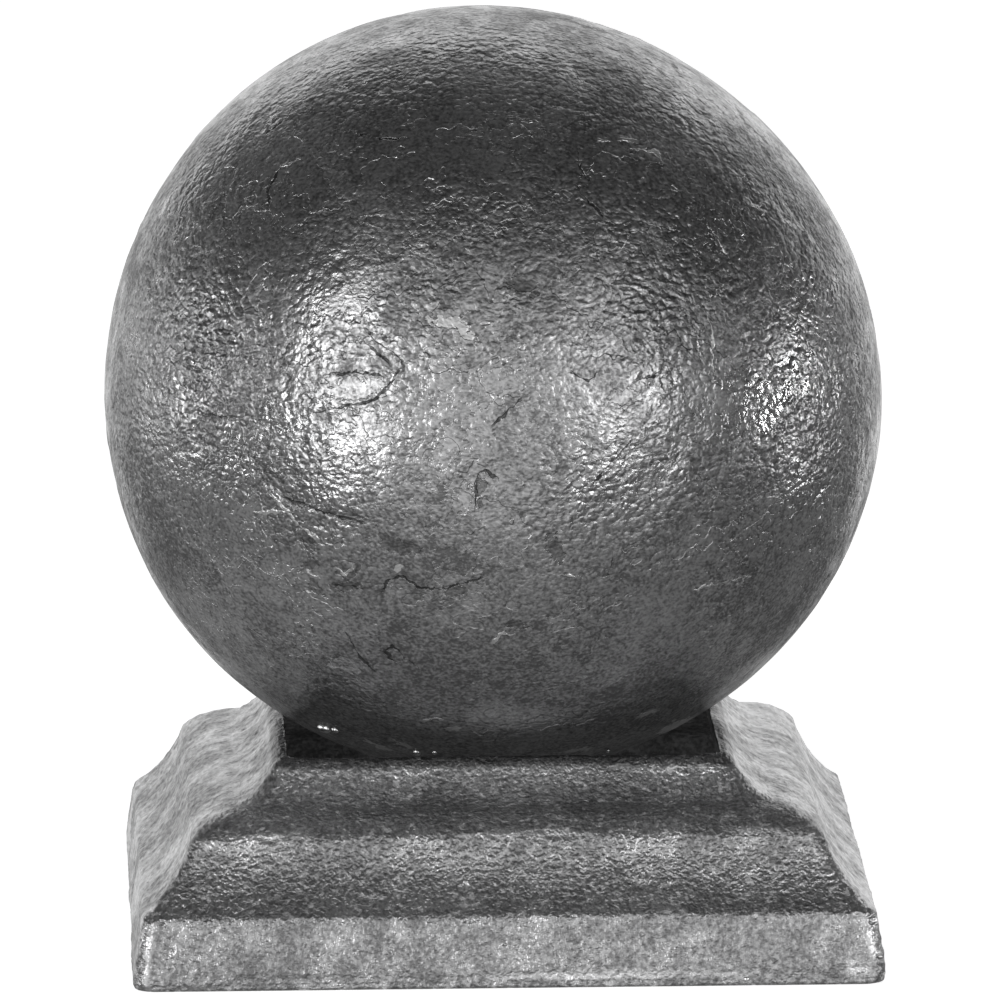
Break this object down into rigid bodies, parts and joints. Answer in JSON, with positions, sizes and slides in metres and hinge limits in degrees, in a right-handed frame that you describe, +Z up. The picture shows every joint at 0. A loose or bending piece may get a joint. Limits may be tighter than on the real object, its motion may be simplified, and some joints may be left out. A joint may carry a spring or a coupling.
{
  "type": "ball post top",
  "caption": "Ball post top: a rough forged ball seated in the square opening of a moulded, hollow square cap that fits over the end of a post.",
  "frame": {"origin": "centre of the cap's square underside", "axes": "+Z up through the middle of the cap and the ball, +X to the right and +Y to the back as seen from the front in the picture"},
  "size_m": [0.1258, 0.124, 0.1486],
  "materials": {
    "forged_ball": "hot forged, dark mill scale with flakes, pits and small bright spots",
    "cast_cap": "raw sand-cast skin, fine grain, worn bright on some edges"
  },
  "bodies": {
    "root": {"ball": "forged_ball", "post_cap": "cast_cap"}
  },
  "joints": []
}
